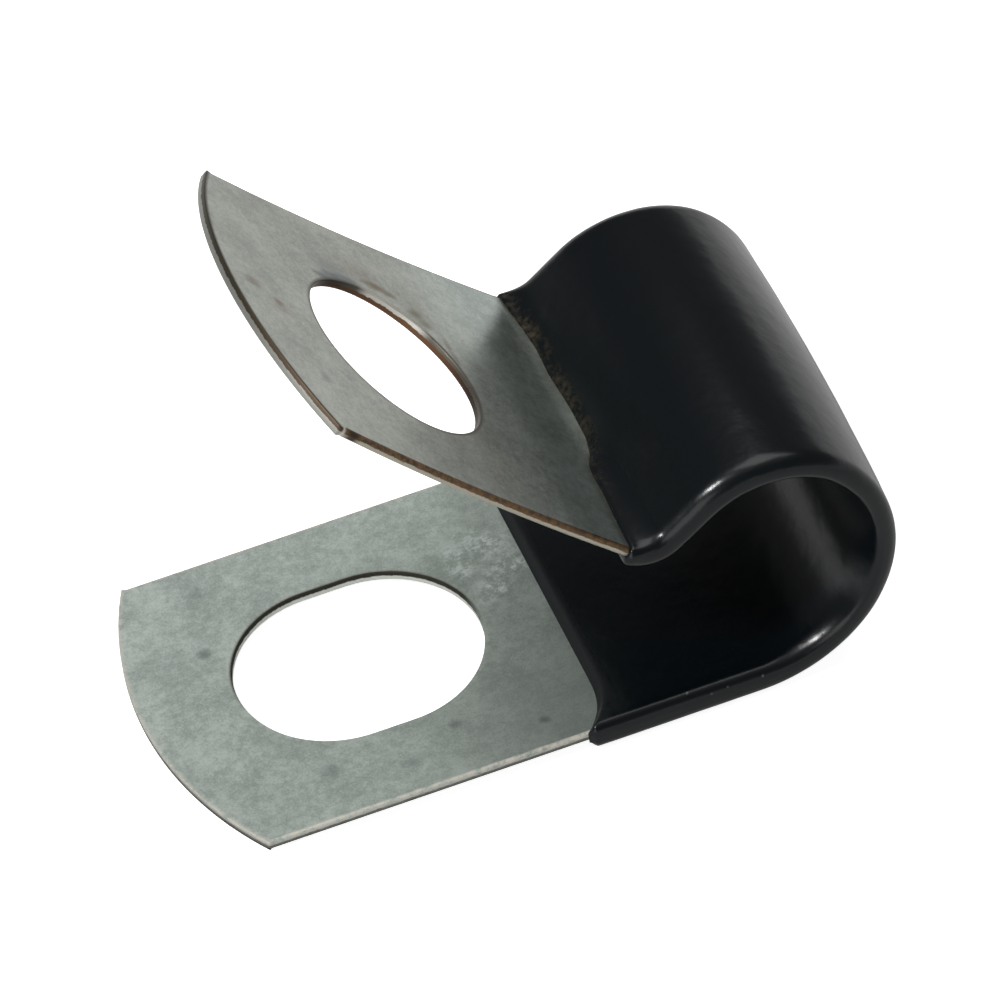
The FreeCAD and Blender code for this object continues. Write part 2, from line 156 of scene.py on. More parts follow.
# stations along the strip's sides: where their spacing changes, and how many each run has
STATION_BREAKS = [-27.6, -6.0, EAR_ROOT - 3.0, EAR_ROOT + 0.6, UPPER_TIP - 0.3]
STATION_COUNTS = [55, 52, 30, 52]
TIP_POINTS = 90
TIP_CLEAR = 0.1
HALF_CIRCLE_POINTS = 60
LEAST_STEP = 0.02
SHARPEST_OPENING = 0.6

# the grid of points over each flat, and how it is made into triangles
GRID_ACROSS = 31
GRID_MARGIN = 0.7
GRID_SHIFT = 0.3
SHIFT_MARGIN = 1.0
GRID_CLEAR = 0.22
BATCH = 500
WHOLE_HULL = 0
MERGE_WITHIN = 1e-6

# the section of the edges: rolled along the sides, cut at the tips and in the holes
EDGE_STEPS = 6
ROLLED_ROUND = 0.22
CUT_ROUND = 0.06
INSET = 0.24


def side_stations():
    """Values of s along the strip's sides, closer together where the strip bends and where it shows."""
    runs = zip(STATION_BREAKS, STATION_BREAKS[1:], STATION_COUNTS)
    stations = [np.linspace(start, end, count, endpoint=False) for start, end, count in runs]
    return np.append(np.concatenate(stations), STATION_BREAKS[-1])


def side_points(y, lower_corner, upper_corner):
    """One side of the strip, at the stations that are clear of the two tips."""
    s = side_stations()
    s = s[(s > lower_corner[0] + TIP_CLEAR) & (s < upper_corner[0] - TIP_CLEAR)]
    return np.stack([s, np.full(len(s), y)], axis=1)


def arc_points(center, radius, start, end, count):
    turn = np.radians(np.linspace(start, end, count))
    return np.stack([center[0] + radius * np.cos(turn), center[1] + radius * np.sin(turn)], axis=1)


def strap_outline():
    """The laid-out strip's outline, anticlockwise from the lower tip, and 1 where it is rolled."""
    turn_front = math.degrees(math.asin((HALF_W + LOWER_TIP_OFFSET) / LOWER_TIP_RADIUS))
    turn_back = math.degrees(math.asin((HALF_W - LOWER_TIP_OFFSET) / LOWER_TIP_RADIUS))
    turn_upper = math.degrees(math.asin(HALF_W / UPPER_TIP_RADIUS))
    lower_center = (LOWER_TIP_RADIUS - LOWER_EAR, LOWER_TIP_OFFSET)
    upper_center = (UPPER_TIP - UPPER_TIP_RADIUS, 0.0)
    lower_tip = arc_points(lower_center, LOWER_TIP_RADIUS, 180 - turn_back, 180 + turn_front, TIP_POINTS)
    upper_tip = arc_points(upper_center, UPPER_TIP_RADIUS, -turn_upper, turn_upper, TIP_POINTS)
    front = side_points(-HALF_W, lower_tip[-1], upper_tip[0])
    back = side_points(HALF_W, lower_tip[0], upper_tip[-1])[::-1]
    cut = np.zeros(TIP_POINTS)
    rolled = np.concatenate([cut, np.ones(len(front)), cut, np.ones(len(back))])
    return np.concatenate([lower_tip, front, upper_tip, back]), rolled


def hole_outline(center, straight):
    """A hole's outline, clockwise, so that the metal is on its left, as along the strip's outline."""
    front = arc_points((center[0] + straight, center[1]), HOLE_RADIUS, 90, -90, HALF_CIRCLE_POINTS)
    rear = arc_points((center[0] - straight, center[1]), HOLE_RADIUS, -90, -270, HALF_CIRCLE_POINTS)
    points = np.concatenate([front, rear])
    return points[np.linalg.norm(points - np.roll(points, 1, axis=0), axis=1) > LEAST_STEP]


def inward(points):
    """Unit directions from an outline into the metal, longer at corners so that insets keep parallel."""
    ahead = np.roll(points, -1, axis=0) - points
    behind = points - np.roll(points, 1, axis=0)
    ahead /= np.linalg.norm(ahead, axis=1)[:, None]
    behind /= np.linalg.norm(behind, axis=1)[:, None]
    both = ahead + behind
    normal = np.stack([-both[:, 1], both[:, 0]], axis=1)
    normal /= np.linalg.norm(normal, axis=1)[:, None]
    opening = (normal * np.stack([-ahead[:, 1], ahead[:, 0]], axis=1)).sum(axis=1)
    return normal / np.clip(opening, SHARPEST_OPENING, 1.0)[:, None]


def inside(points, outline):
    """Which points lie inside a closed outline."""
    result = np.zeros(len(points), bool)
    for (s1, y1), (s2, y2) in zip(outline, np.roll(outline, -1, axis=0)):
        crosses = (y1 > points[:, 1]) != (y2 > points[:, 1])
        if crosses.any():
            at = (s2 - s1) * (points[:, 1] - y1) / (y2 - y1 + TINY) + s1
            result ^= crosses & (points[:, 0] < at)
    return result


def in_metal(points, outlines):
    """Which points lie inside the first outline and in none of the others."""
    result = inside(points, outlines[0])
    for hole in outlines[1:]:
        result &= ~inside(points, hole)
    return result


def distance_to(points, others):
    """Each point's distance to the nearest of some others."""
    nearest = []
    for start in range(0, len(points), BATCH):
        gaps = points[start:start + BATCH, None, :] - others[None, :, :]
        nearest.append(np.linalg.norm(gaps, axis=2).min(axis=1))
    return np.concatenate(nearest)


def flat_grid(insets):
    """Points over the flat between the edges, every second row shifted so that the triangles are even."""
    across = np.linspace(GRID_MARGIN - HALF_W, HALF_W - GRID_MARGIN, GRID_ACROSS)
    shifted = across + np.where(np.abs(across) < HALF_W - SHIFT_MARGIN, GRID_SHIFT, 0.0)
    rows = [across, shifted]
    grid = np.array([(s, y) for row, s in enumerate(side_stations()) for y in rows[row % 2]])
    grid = grid[in_metal(grid, insets)]
    return grid[distance_to(grid, np.concatenate(insets)) > GRID_CLEAR]


def triangulate(insets):
    """The flat between the edges: points, triangles, and which point each of the insets' points became."""
    edges = []
    start = 0
    for inset in insets:
        count = len(inset)
        edges += [(start + i, start + (i + 1) % count) for i in range(count)]
        start += count
    given = [Vector(point) for point in np.concatenate(insets + [flat_grid(insets)])]
    result = delaunay_2d_cdt(given, edges, [], WHOLE_HULL, MERGE_WITHIN)
    points = np.array([tuple(point) for point in result[0]])
    triangles = np.array(result[2])
    became = {old: new for new, olds in enumerate(result[3]) for old in olds}
    middles = points[triangles].mean(axis=1)
    return points, triangles[in_metal(middles, insets)], became


def edge_profile(radius):
    """An edge's section from one flat to the other: distances in from the outline, and heights."""
    turns = np.radians(np.linspace(0, 90, EDGE_STEPS))
    top = [(radius * (1 - math.sin(a)), HALF_T - radius * (1 - math.cos(a))) for a in turns]
    return np.array(top + [(distance, -height) for distance, height in top[::-1]])


def make_strap():
    """Two equal flats with rounded edges between them, and masks that name each edge."""
    outline, sides = strap_outline()
    hole = hole_outline(UPPER_HOLE, 0.0)
    slot = hole_outline(LOWER_SLOT, SLOT_HALF_STRAIGHT)
    outlines = [("strip", outline, sides)]
    outlines += [("hole", hole, np.zeros(len(hole))), ("slot", slot, np.zeros(len(slot)))]
    insets = [points + inward(points) * INSET for _, points, _ in outlines]
    flat_points, triangles, became = triangulate(insets)

    count = len(flat_points)
    flat = [np.c_[flat_points, np.full(count, height)] for height in (HALF_T, -HALF_T)]
    faces = [tuple(t) for t in triangles] + [tuple(t[::-1] + count) for t in triangles]
    mask_names = ("hole", "slot", "side", "edge")
    masks = [np.zeros((2 * count, len(mask_names)))]

    total = 2 * count
    first = 0
    for kind, points, rolled in outlines:
        number = len(points)
        direction = inward(points)
        corner = [became[first + i] for i in range(number)]
        rings = [corner]
        for rolled_step, cut_step in zip(edge_profile(ROLLED_ROUND), edge_profile(CUT_ROUND)):
            step = np.where(rolled[:, None] == 1, rolled_step, cut_step)
            flat.append(np.c_[points + direction * step[:, :1], step[:, 1]])
            is_hole, is_slot = np.full(number, kind == "hole"), np.full(number, kind == "slot")
            masks.append(np.c_[is_hole, is_slot, rolled, np.ones(number)])
            rings.append(list(range(total, total + number)))
            total += number
        rings.append([index + count for index in corner])
        for upper, lower in zip(rings, rings[1:]):
            for i in range(number):
                j = (i + 1) % number
                faces.append((upper[i], lower[i], lower[j], upper[j]))
        first += number

    flat = np.concatenate(flat)
    layers = dict(zip(mask_names, np.concatenate(masks).T))
    layers["height"] = flat[:, 2]
    layers["tide"] = flat[:, 0] - upper_tide(flat[:, 1])
    return make_mesh("strap", flat, faces, layers)


# Vinyl coat

COAT = 0.5
COAT_CROWN = 0.2
COAT_EDGE = 0.3

# the corners of the coat's section, with the sizes that change along s
OUTER_ROUND_AT = [(-8.0, 0.5), (2.0, 0.55), (14.0, 0.65), (20.0, 0.95), (26.0, 0.9), (28.0, 0.7)]
INNER_REACH_AT = [(-8.0, 0.55), (1.0, 0.6), (5.0, 1.5), (9.0, 2.5), (13.0, 2.5), (19.0, 0.8), (28.0, 0.6)]
INNER_DEPTH = 0.7
LEAST_SIDE = 0.05

# how many points each part of the section has
OUTSIDE_POINTS = 45
INSIDE_POINTS = 43
SIDE_POINTS = 4
CORNER_STEPS = 9

# the tide lines where the coat ends: the upper one as y and how far past the ear's root
UPPER_TIDE = [
    (-9.9, -0.02), (-8.3, -0.02), (-6.9, -0.11), (-5.5, -0.22), (-4.3, -0.16), (-3.3, -0.26), (-2.5, -0.74),
    (-1.2, -1.01), (1.2, -1.02), (3.6, -0.84), (5.6, -0.92), (7.3, -0.73), (8.5, -0.5), (9.9, -0.36),
]
TIDE_SAMPLES = 400
TIDE_SMOOTHING = 17
LOWER_TIDE = -7.5
LOWER_CURL = 1.6
LOWER_CURL_START = -5.8
LOWER_CURL_POWER = 3
FURTHEST_CURL = 1.2

# the lips where it thins out: their lengths, and the heights over which the long one comes in
BLUNT_LIP = 0.4
UPPER_LIP = 2.2
LONG_LIP_FROM = 0.3
LONG_LIP_OVER = 0.4
FILM = 0.2
LIP_FALL = 2.4
LIP_CROWDING = 1.5

# the rows along the strip; the inner face lies a little inside the steel, so that no gap shows
COAT_ROWS = 230
LIP_ROWS = 11
UNDER = -0.06

# the dipped skin's slight swelling: depth, size, seed
SWELLS = [(0.018, 3.2, 4.0), (0.006, 0.9, 9.0)]
SWELL_SIDEWAYS = 3
LEAST_LENGTH = 1e-6


def upper_tide(y):
    """Where the coat ends towards the upper ear, at y across the strip."""
    ys, drops = zip(*UPPER_TIDE)
    fine = np.linspace(ys[0], ys[-1], TIDE_SAMPLES)
    kernel = np.hanning(TIDE_SMOOTHING)
    padded = np.pad(np.interp(fine, ys, drops), TIDE_SMOOTHING // 2, "edge")
    smooth = np.convolve(padded, kernel / kernel.sum(), "valid")
    return EAR_ROOT + np.interp(y, fine, smooth)


def lower_tide(y):
    """Where the coat ends towards the lower ear: straight, then curling towards the tip at the front."""
    share = (LOWER_CURL_START - y) / (HALF_W + COAT_EDGE + LOWER_CURL_START)
    return LOWER_TIDE - LOWER_CURL * np.clip(share, 0.0, FURTHEST_CURL) ** LOWER_CURL_POWER


def coat_section(s):
    """The coat's outline across the strip at s, as (y, height) pairs: outside, back, inside, front."""
    half_w = HALF_W + COAT_EDGE
    half_t = HALF_T + COAT
    r = np.interp(s, *zip(*OUTER_ROUND_AT))
    wide = np.interp(s, *zip(*INNER_REACH_AT))
    deep = min(INNER_DEPTH, 2 * half_t - r - LEAST_SIDE)
    flat_w = half_w - r
    high = half_t - r
    low = deep - half_t
    corner = np.radians(np.linspace(0, 90, CORNER_STEPS))[1:-1]
    outside = np.linspace(-flat_w, flat_w, OUTSIDE_POINTS)
    crown = COAT_CROWN * (1 - (outside / flat_w) ** 2)
    side = np.linspace(high, low, SIDE_POINTS)
    pairs = [(y, half_t + rise) for y, rise in zip(outside, crown)]
    pairs += [(flat_w + r * math.sin(a), high + r * math.cos(a)) for a in corner]
    pairs += [(half_w, height) for height in side]
    pairs += [(half_w - wide + wide * math.cos(a), low - deep * math.sin(a)) for a in corner]
    pairs += [(y, -half_t) for y in np.linspace(half_w - wide, wide - half_w, INSIDE_POINTS)]
    pairs += [(wide - half_w - wide * math.sin(a), low - deep * math.cos(a)) for a in corner]
    pairs += [(-half_w, height) for height in side[::-1]]
    pairs += [(-flat_w - r * math.cos(a), high + r * math.sin(a)) for a in corner]
    return np.array(pairs)


def under_coat(outer):
    """The steel's surface under each point of the coat's section."""
    return np.clip(outer, (-HALF_W, -HALF_T), (HALF_W, HALF_T))


def coat_row(s, share):
    """One ring of the coat across the strip, at a share of its thickness, with the skin's swelling."""
    outer = coat_section(s.mean())
    steel = under_coat(outer)
    away = outer - steel
    points = steel + away * share
    if share > 0:
        around = outer[:, 0] + SWELL_SIDEWAYS * outer[:, 1]
        swell = sum(depth * wavy(s, around, size, seed) for depth, size, seed in SWELLS)
        away = away / np.maximum(np.linalg.norm(away, axis=1)[:, None], LEAST_LENGTH)
        points = points + away * (swell * share)[:, None]
    return np.c_[s, points]


def make_coat():
    """The skin as a closed tube of rings: out along its outside, and back along its inner face."""
    section = coat_section(0.0)
    columns = len(section)
    low_end = lower_tide(under_coat(section)[:, 0])
    up_end = upper_tide(under_coat(section)[:, 0])
    long_part = np.clip((section[:, 1] - LONG_LIP_FROM) / LONG_LIP_OVER, 0.0, 1.0)
    up_lip = BLUNT_LIP + (UPPER_LIP - BLUNT_LIP) * long_part

    # how thick the coat is along its two lips, from its ends inwards
    lip = np.linspace(0, 1, LIP_ROWS) ** LIP_CROWDING
    low_share = FILM + (1 - FILM) * lip ** 2 * (3 - 2 * lip)
    up_share = 1 - (1 - FILM) * (1 - lip) ** LIP_FALL
    low_share[0] = up_share[0] = 0.0

    rows = [(low_end + BLUNT_LIP * part, share) for part, share in zip(lip, low_share)]
    for part in np.linspace(0, 1, COAT_ROWS)[1:-1]:
        rows.append(((low_end + BLUNT_LIP) * (1 - part) + (up_end - up_lip) * part, 1.0))
    rows += [(up_end - up_lip * part, share) for part, share in zip(lip[::-1], up_share[::-1])]
    rows += [(row, UNDER) for row, _ in rows[::-1]]
    flat = np.concatenate([coat_row(s, share) for s, share in rows])

    faces = []
    for ring in range(len(rows)):
        here, there = ring * columns, (ring + 1) % len(rows) * columns
        for column in range(columns):
            after = (column + 1) % columns
            faces.append((here + column, here + after, there + after, there + column))
    return make_mesh("coat", flat, faces, {"tide": upper_tide(flat[:, 1]) - flat[:, 0]})


# Node trees

NOISE_SHIFT = (1.0, 1.7, 0.6)
SPOT_FADE = (1.4, 0.2)
COLOUR_A, COLOUR_B, COLOUR_OUT = 6, 7, 2


class Paint:
    """The node tree of a material or world, with short names for the few kinds of node that are used."""

    def __init__(self, owner):
        self.owner = owner
        owner.use_nodes = True
        self.tree = owner.node_tree
        self.tree.nodes.clear()

    def put(self, value, target):
        if isinstance(value, bpy.types.NodeSocket):
            self.tree.links.new(value, target)
        else:
            target.default_value = value

    def node(self, kind, settings=None, inputs=None):
        node = self.tree.nodes.new(kind)
        for key, value in (settings or {}).items():
            setattr(node, key, value)
        for key, value in (inputs or {}).items():
            self.put(value, node.inputs[key])
        return node

    def math(self, operation, *values):
        return self.node("ShaderNodeMath", {"operation": operation}, dict(enumerate(values))).outputs[0]

    def plus(self, a, b):
        return self.math("ADD", a, b)

    def times(self, first, *others):
        for other in others:
            first = self.math("MULTIPLY", first, other)
        return first

    def vector(self, operation, a, b):
        return self.node("ShaderNodeVectorMath", {"operation": operation}, {0: a, 1: b}).outputs[0]

    def split(self, vector):
        return self.node("ShaderNodeSeparateXYZ", None, {0: vector}).outputs

    def coordinates(self, kind):
        return self.node("ShaderNodeTexCoord").outputs[kind]

    def millimetres(self):
        return self.vector("MULTIPLY", self.coordinates("Object"), (1 / MM, 1 / MM, 1 / MM))

    def laid_flat(self):
        return self.node("ShaderNodeUVMap", {"uv_map": "laid_flat"}).outputs[0]

    def attribute(self, name):
        return self.node("ShaderNodeAttribute", {"attribute_name": name}).outputs["Fac"]

    def noise(self, place, size, detail, rough, shift):
        """Noise from 0 to 1 with features about size millimetres wide."""
        moved = self.vector("ADD", place, tuple(shift * part for part in NOISE_SHIFT))
        inputs = {"Vector": moved, "Scale": 1.0 / size, "Detail": detail, "Roughness": rough}
        return self.node("ShaderNodeTexNoise", None, inputs).outputs["Fac"]

    def rise(self, value, low, high):
        """0 at low and 1 at high, smoothly; low may be the larger."""
        at_least, at_most = (1.0, 0.0) if low > high else (0.0, 1.0)
        inputs = {0: value, 1: min(low, high), 2: max(low, high), 3: at_least, 4: at_most}
        return self.node("ShaderNodeMapRange", {"interpolation_type": "SMOOTHSTEP"}, inputs).outputs[0]

    def mix(self, share, a, b):
        inputs = {0: share, COLOUR_A: a, COLOUR_B: b}
        return self.node("ShaderNodeMix", {"data_type": "RGBA"}, inputs).outputs[COLOUR_OUT]

    def spot(self, place, center, radii, ragged, strength):
        """A soft ragged patch: its strength at the center, 0 outside."""
        away = self.vector("DIVIDE", self.vector("SUBTRACT", place, center), radii)
        length = self.node("ShaderNodeVectorMath", {"operation": "LENGTH"}, {0: away}).outputs["Value"]
        broken = self.plus(length, self.math("SUBTRACT", ragged, 0.5))
        return self.times(self.rise(broken, *SPOT_FADE), strength)

    def stain(self, flat, ragged, s, y, radius_s, radius_y, strength):
        """A spot on the laid-out strip."""
        return self.spot(flat, (s, y, 0.0), (radius_s, radius_y, 1.0), ragged, strength)

    def finish(self, colour, rough, height, bump_depth, fixed):
        """The shader of a whole material, with what is the same all over it in fixed."""
        relief = {"Strength": 1.0, "Distance": bump_depth, "Height": height}
        bump = self.node("ShaderNodeBump", None, relief)
        shader = self.node("ShaderNodeBsdfPrincipled", None, fixed)
        self.put(colour, shader.inputs["Base Color"])
        self.put(rough, shader.inputs["Roughness"])
        self.put(bump.outputs[0], shader.inputs["Normal"])
        self.node("ShaderNodeOutputMaterial", None, {"Surface": shader.outputs["BSDF"]})
        return self.owner


# Steel finish

# zinc tones: the cool ones are a painted lit copy for the lower ear, the warm ones a painted shaded copy
# for the upper ear
ZINC_COOL_LIT = (0.355, 0.405, 0.37, 1.0)
ZINC_COOL_PALE_LIT = (0.585, 0.645, 0.60, 1.0)
ZINC_WARM_SHADED = (0.255, 0.267, 0.236, 1.0)
ZINC_WARM_PALE_SHADED = (0.455, 0.468, 0.42, 1.0)
ZINC_IN_PAINTED_SHADE = (0.22, 0.245, 0.225, 1.0)
CUT_PALE = (0.34, 0.34, 0.31, 1.0)
CREAM = (0.47, 0.44, 0.36, 1.0)
OLIVE = (0.070, 0.066, 0.045, 1.0)
CUT_BROWN = (0.20, 0.12, 0.062, 1.0)
TIP_BROWN = (0.085, 0.062, 0.042, 1.0)
# painted shade for the lower ear's side, and a dark tone that is both broken metal and painted shade
SIDE_PAINTED_SHADE = (0.20, 0.21, 0.19, 1.0)
DARK_BREAK_AND_SHADE = (0.050, 0.036, 0.024, 1.0)
HOLE_BROWN = (0.14, 0.075, 0.042, 1.0)
HOLE_WALL = (0.12, 0.11, 0.09, 1.0)
SLOT_WALL_PAINTED_REFLECTION = (0.72, 0.74, 0.69, 1.0)
SLOT_DARK = (0.045, 0.043, 0.032, 1.0)
# pale wear, also used as a painted highlight on the lower ear's corner and the upper ear's front corner
WEAR_AND_HIGHLIGHT = (0.62, 0.60, 0.54, 1.0)
GREY_STAIN = (0.10, 0.12, 0.125, 1.0)
BROWN_STAIN = (0.14, 0.118, 0.07, 1.0)
RUST = (0.17, 0.095, 0.045, 1.0)
FROST = (0.82, 0.89, 0.86, 1.0)

# noises: size of the features in millimetres, detail, roughness, shift
ZINC_CLOUD = (2.6, 3.0, 0.6, 11.0)
ZINC_MOTTLE = (0.36, 4.0, 0.7, 3.0)
ZINC_GRAIN = (0.09, 2.0, 0.6, 7.0)
STAIN_RAGGED = (0.5, 4.0, 0.75, 21.0)

# each stain laid flat: s, y, its two radii, its strength
GREY_STAINS = [
    (41.3, 4.5, 0.8, 0.35, 0.9), (40.4, 4.9, 0.9, 0.35, 0.95), (39.4, 5.2, 0.8, 0.3, 0.8),
    (40.4, 5.5, 1.8, 0.9, 0.35), (45.9, -5.3, 0.35, 0.45, 0.5), (-23.6, 3.6, 0.4, 0.35, 0.55),
    (-14.3, -6.1, 0.35, 0.3, 0.5), (-10.3, -7.7, 0.3, 0.25, 0.55), (-16.9, -7.6, 0.5, 0.4, 0.3),
    (-20.7, -6.3, 0.5, 0.5, 0.3), (-22.7, 7.6, 0.4, 0.6, 0.25),
]
BROWN_STAINS = [
    (38.3, 6.4, 1.7, 1.0, 0.4), (37.5, 5.7, 0.9, 0.3, 0.85), (36.6, 5.5, 0.6, 0.3, 0.8),
    (35.2, 4.7, 0.4, 0.3, 0.75), (35.0, 4.7, 0.9, 0.9, 0.35), (34.7, 4.1, 0.4, 0.3, 0.6),
    (33.9, 2.9, 0.25, 0.6, 0.65), (33.8, 2.0, 0.25, 0.5, 0.6), (48.0, 0.6, 0.45, 0.45, 0.6),
    (46.6, -0.6, 0.8, 0.6, 0.35),
]
RUST_SPOTS = [(46.6, -0.2, 0.35, 0.3, 0.7), (27.1, -2.8, 0.35, 0.5, 0.8), (37.3, 5.7, 0.5, 0.18, 0.7)]
FROST_SPOTS = [
    (-8.4, 2.7, 1.2, 0.6, 0.8), (-9.6, 1.5, 1.0, 0.8, 0.8), (-10.5, 3.5, 0.6, 0.9, 0.6),
    (-10.6, 4.6, 0.6, 0.6, 0.5), (-8.5, 4.2, 1.1, 0.8, 0.5), (-9.3, 4.9, 0.9, 0.8, 0.4),
]
CORNER_DENT = (45.95, -9.5, 0.45, 0.4, 0.95)
CORNER_GLINT = (46.6, -9.5, 0.12, 0.3, 0.9)

# ranges over which a tone comes in, along the strip and across it
WARM_SHADED_ALONG = (29.0, 36.0)
LOWER_EAR_ALONG = (10.0, 0.0)
UPPER_EAR_ALONG = (0.0, 20.0)
# painted shade on the lower ear towards the coat's front corner, and the upper ear's painted shadow towards
# its back corner
PAINTED_SHADE_ALONG = (-20.0, -9.0)
PAINTED_SHADE_ACROSS = (5.0, -7.0)
PAINTED_SHADE_SHARE = 0.6
SHADED_ALONG = (-11.0, -8.5)
SHADED_ACROSS = (4.0, 8.0)
SHADED_SHARE = 0.35
DIP_ALONG = (18.0, 24.0)
DIP_FROM_TIDE = (0.6, 0.0)
DIP_SHARE = 0.45
SEEN_FACE_ALONG = (-5.0, 18.0)
TIP_DARK_ACROSS = (3.0, -6.0)
TORN_ALONG = (39.0, 38.0)
TORN_ACROSS = (3.0, 3.8)
HOLE_SHADE_ACROSS = (2.5, -1.0)
NEAR_LIP_ACROSS = (2.0, -1.0)

# ranges of height through the strip
SEEN_HEIGHTS = (-0.1, 0.1)
UPPER_LINE_HEIGHTS = (0.01, 0.06)
LOWER_HIGHLIGHT_HEIGHTS = (-0.10, -0.02)
LOWER_SHADE_LINE_HEIGHTS = (0.06, 0.12)
HOLE_LINE_HEIGHTS = (-0.01, 0.05)
SLOT_LINE_HEIGHTS = (-0.08, 0.0)
NEAR_LIP_HEIGHTS = (-0.17, -0.20)
STREAK_HEIGHT = 0.2

# ranges of the noises, and their shares
ZINC_PALE = (0.9, 1.6)
CLOUD_SHARE = 0.8
GRAIN_SHARE = 0.7
SIDE_BROWN = (0.35, 0.65)
WEAR_AND_HIGHLIGHT_PATCHES = (0.3, 0.6)
CRYSTALS = (0.44, 0.62)

ZINC_METALLIC = 0.88
ZINC_ROUGH = 0.24
ZINC_ROUGHER = 0.26
ROUGHER_ALONG = (18.0, -5.0)
ROUGH_MOTTLE = 0.6
EDGE_ROUGH = 0.14
RELIEF_MOTTLE = 0.5
ZINC_RELIEF = 0.000004


def cut_edges(paint, colour, mottle, ragged):
    """Cut and rolled edges: smooth and pale where the tool slid, dark where the metal broke away, with
    painted highlights and painted shade on the lower ear's side, the hole's front and the slot's wall.
    """
    flat = paint.laid_flat()
    along, across, _ = paint.split(flat)
    height = paint.attribute("height")
    side = paint.attribute("side")
    wandering = paint.plus(height, paint.times(paint.math("SUBTRACT", mottle, 0.5), STREAK_HEIGHT))

    # the upper ear: a dark line along its outer face over a pale one, brown and cream on its front side
    tip_dark = paint.mix(paint.rise(across, *TIP_DARK_ACROSS), OLIVE, TIP_BROWN)
    side_dark = paint.mix(paint.rise(mottle, *SIDE_BROWN), TIP_BROWN, CUT_BROWN)
    dark_tone = paint.mix(side, tip_dark, side_dark)
    pale_tone = paint.mix(side, CUT_PALE, CREAM)
    upper = paint.mix(paint.rise(wandering, *UPPER_LINE_HEIGHTS), pale_tone, dark_tone)
    upper = paint.mix(paint.stain(flat, ragged, *CORNER_DENT), upper, DARK_BREAK_AND_SHADE)
    # a painted glint at the upper ear's front corner
    upper = paint.mix(paint.stain(flat, ragged, *CORNER_GLINT), upper, WEAR_AND_HIGHLIGHT)

    # the lower ear: a painted highlight, partly wear, along its upper corner, painted shade on the side,
    # and a painted shade line under it
    wear_and_highlight = paint.mix(paint.rise(mottle, *WEAR_AND_HIGHLIGHT_PATCHES), colour, WEAR_AND_HIGHLIGHT)
    lower = paint.mix(paint.rise(wandering, *LOWER_HIGHLIGHT_HEIGHTS), wear_and_highlight, SIDE_PAINTED_SHADE)
    lower = paint.mix(paint.rise(wandering, *LOWER_SHADE_LINE_HEIGHTS), lower, DARK_BREAK_AND_SHADE)
    tone = paint.mix(paint.rise(along, *UPPER_EAR_ALONG), lower, upper)

    # the hole: a brown line along the underside, turning to painted shade at its front, and a bare pale lip
    # at one place of its wall
    torn = paint.times(paint.rise(across, *TORN_ACROSS), paint.rise(along, *TORN_ALONG))
    wall = paint.mix(torn, HOLE_WALL, WEAR_AND_HIGHLIGHT)
    # brown at the back of the hole, painted shade at its front
    broken = paint.mix(paint.rise(across, *HOLE_SHADE_ACROSS), HOLE_BROWN, DARK_BREAK_AND_SHADE)
    pierced = paint.mix(paint.rise(wandering, *HOLE_LINE_HEIGHTS), broken, wall)
    tone = paint.mix(paint.attribute("hole"), tone, pierced)

    # the slot: a dark line along the top over a wall painted pale as a painted reflection of the white
    # floor, and plain plating on its near lip
    slotted = paint.mix(paint.rise(wandering, *SLOT_LINE_HEIGHTS), SLOT_DARK, SLOT_WALL_PAINTED_REFLECTION)
    near_lip = paint.times(paint.rise(height, *NEAR_LIP_HEIGHTS), paint.rise(across, *NEAR_LIP_ACROSS))
    slotted = paint.mix(near_lip, slotted, colour)
    tone = paint.mix(paint.attribute("slot"), tone, slotted)
    return paint.mix(paint.attribute("edge"), colour, tone)


